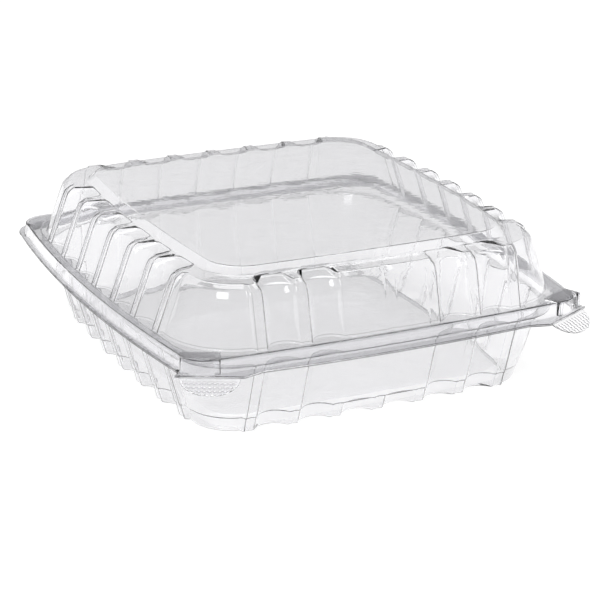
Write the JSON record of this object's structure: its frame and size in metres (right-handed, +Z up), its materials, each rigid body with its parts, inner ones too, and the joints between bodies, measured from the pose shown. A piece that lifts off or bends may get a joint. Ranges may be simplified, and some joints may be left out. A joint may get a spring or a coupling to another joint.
{
  "type": "hinged-lid food container",
  "caption": "Clear thermoformed clamshell food pack with fluted walls, raised top panel, rolled rim and a lid hinged along the back, with finger tabs at the front corners.",
  "frame": {"origin": "centre of the closed pack's bounding box at the height of its feet", "axes": "+Z up, front with the finger tabs at -Y, fold line along X at the back"},
  "size_m": [0.2306, 0.2472, 0.0792],
  "materials": {
    "tray_sheet": "clear gloss",
    "lid_sheet": "clear gloss"
  },
  "bodies": {
    "base": {"base_tray": "tray_sheet"},
    "lid": {"lid": "lid_sheet"}
  },
  "joints": [
    {"name": "lid_hinge", "type": "hinge", "parent": "base", "child": "lid", "pos_m": [0, 0.123, 0.0396], "axis": [-1, 0, 0], "range_deg": [0, 180]}
  ]
}
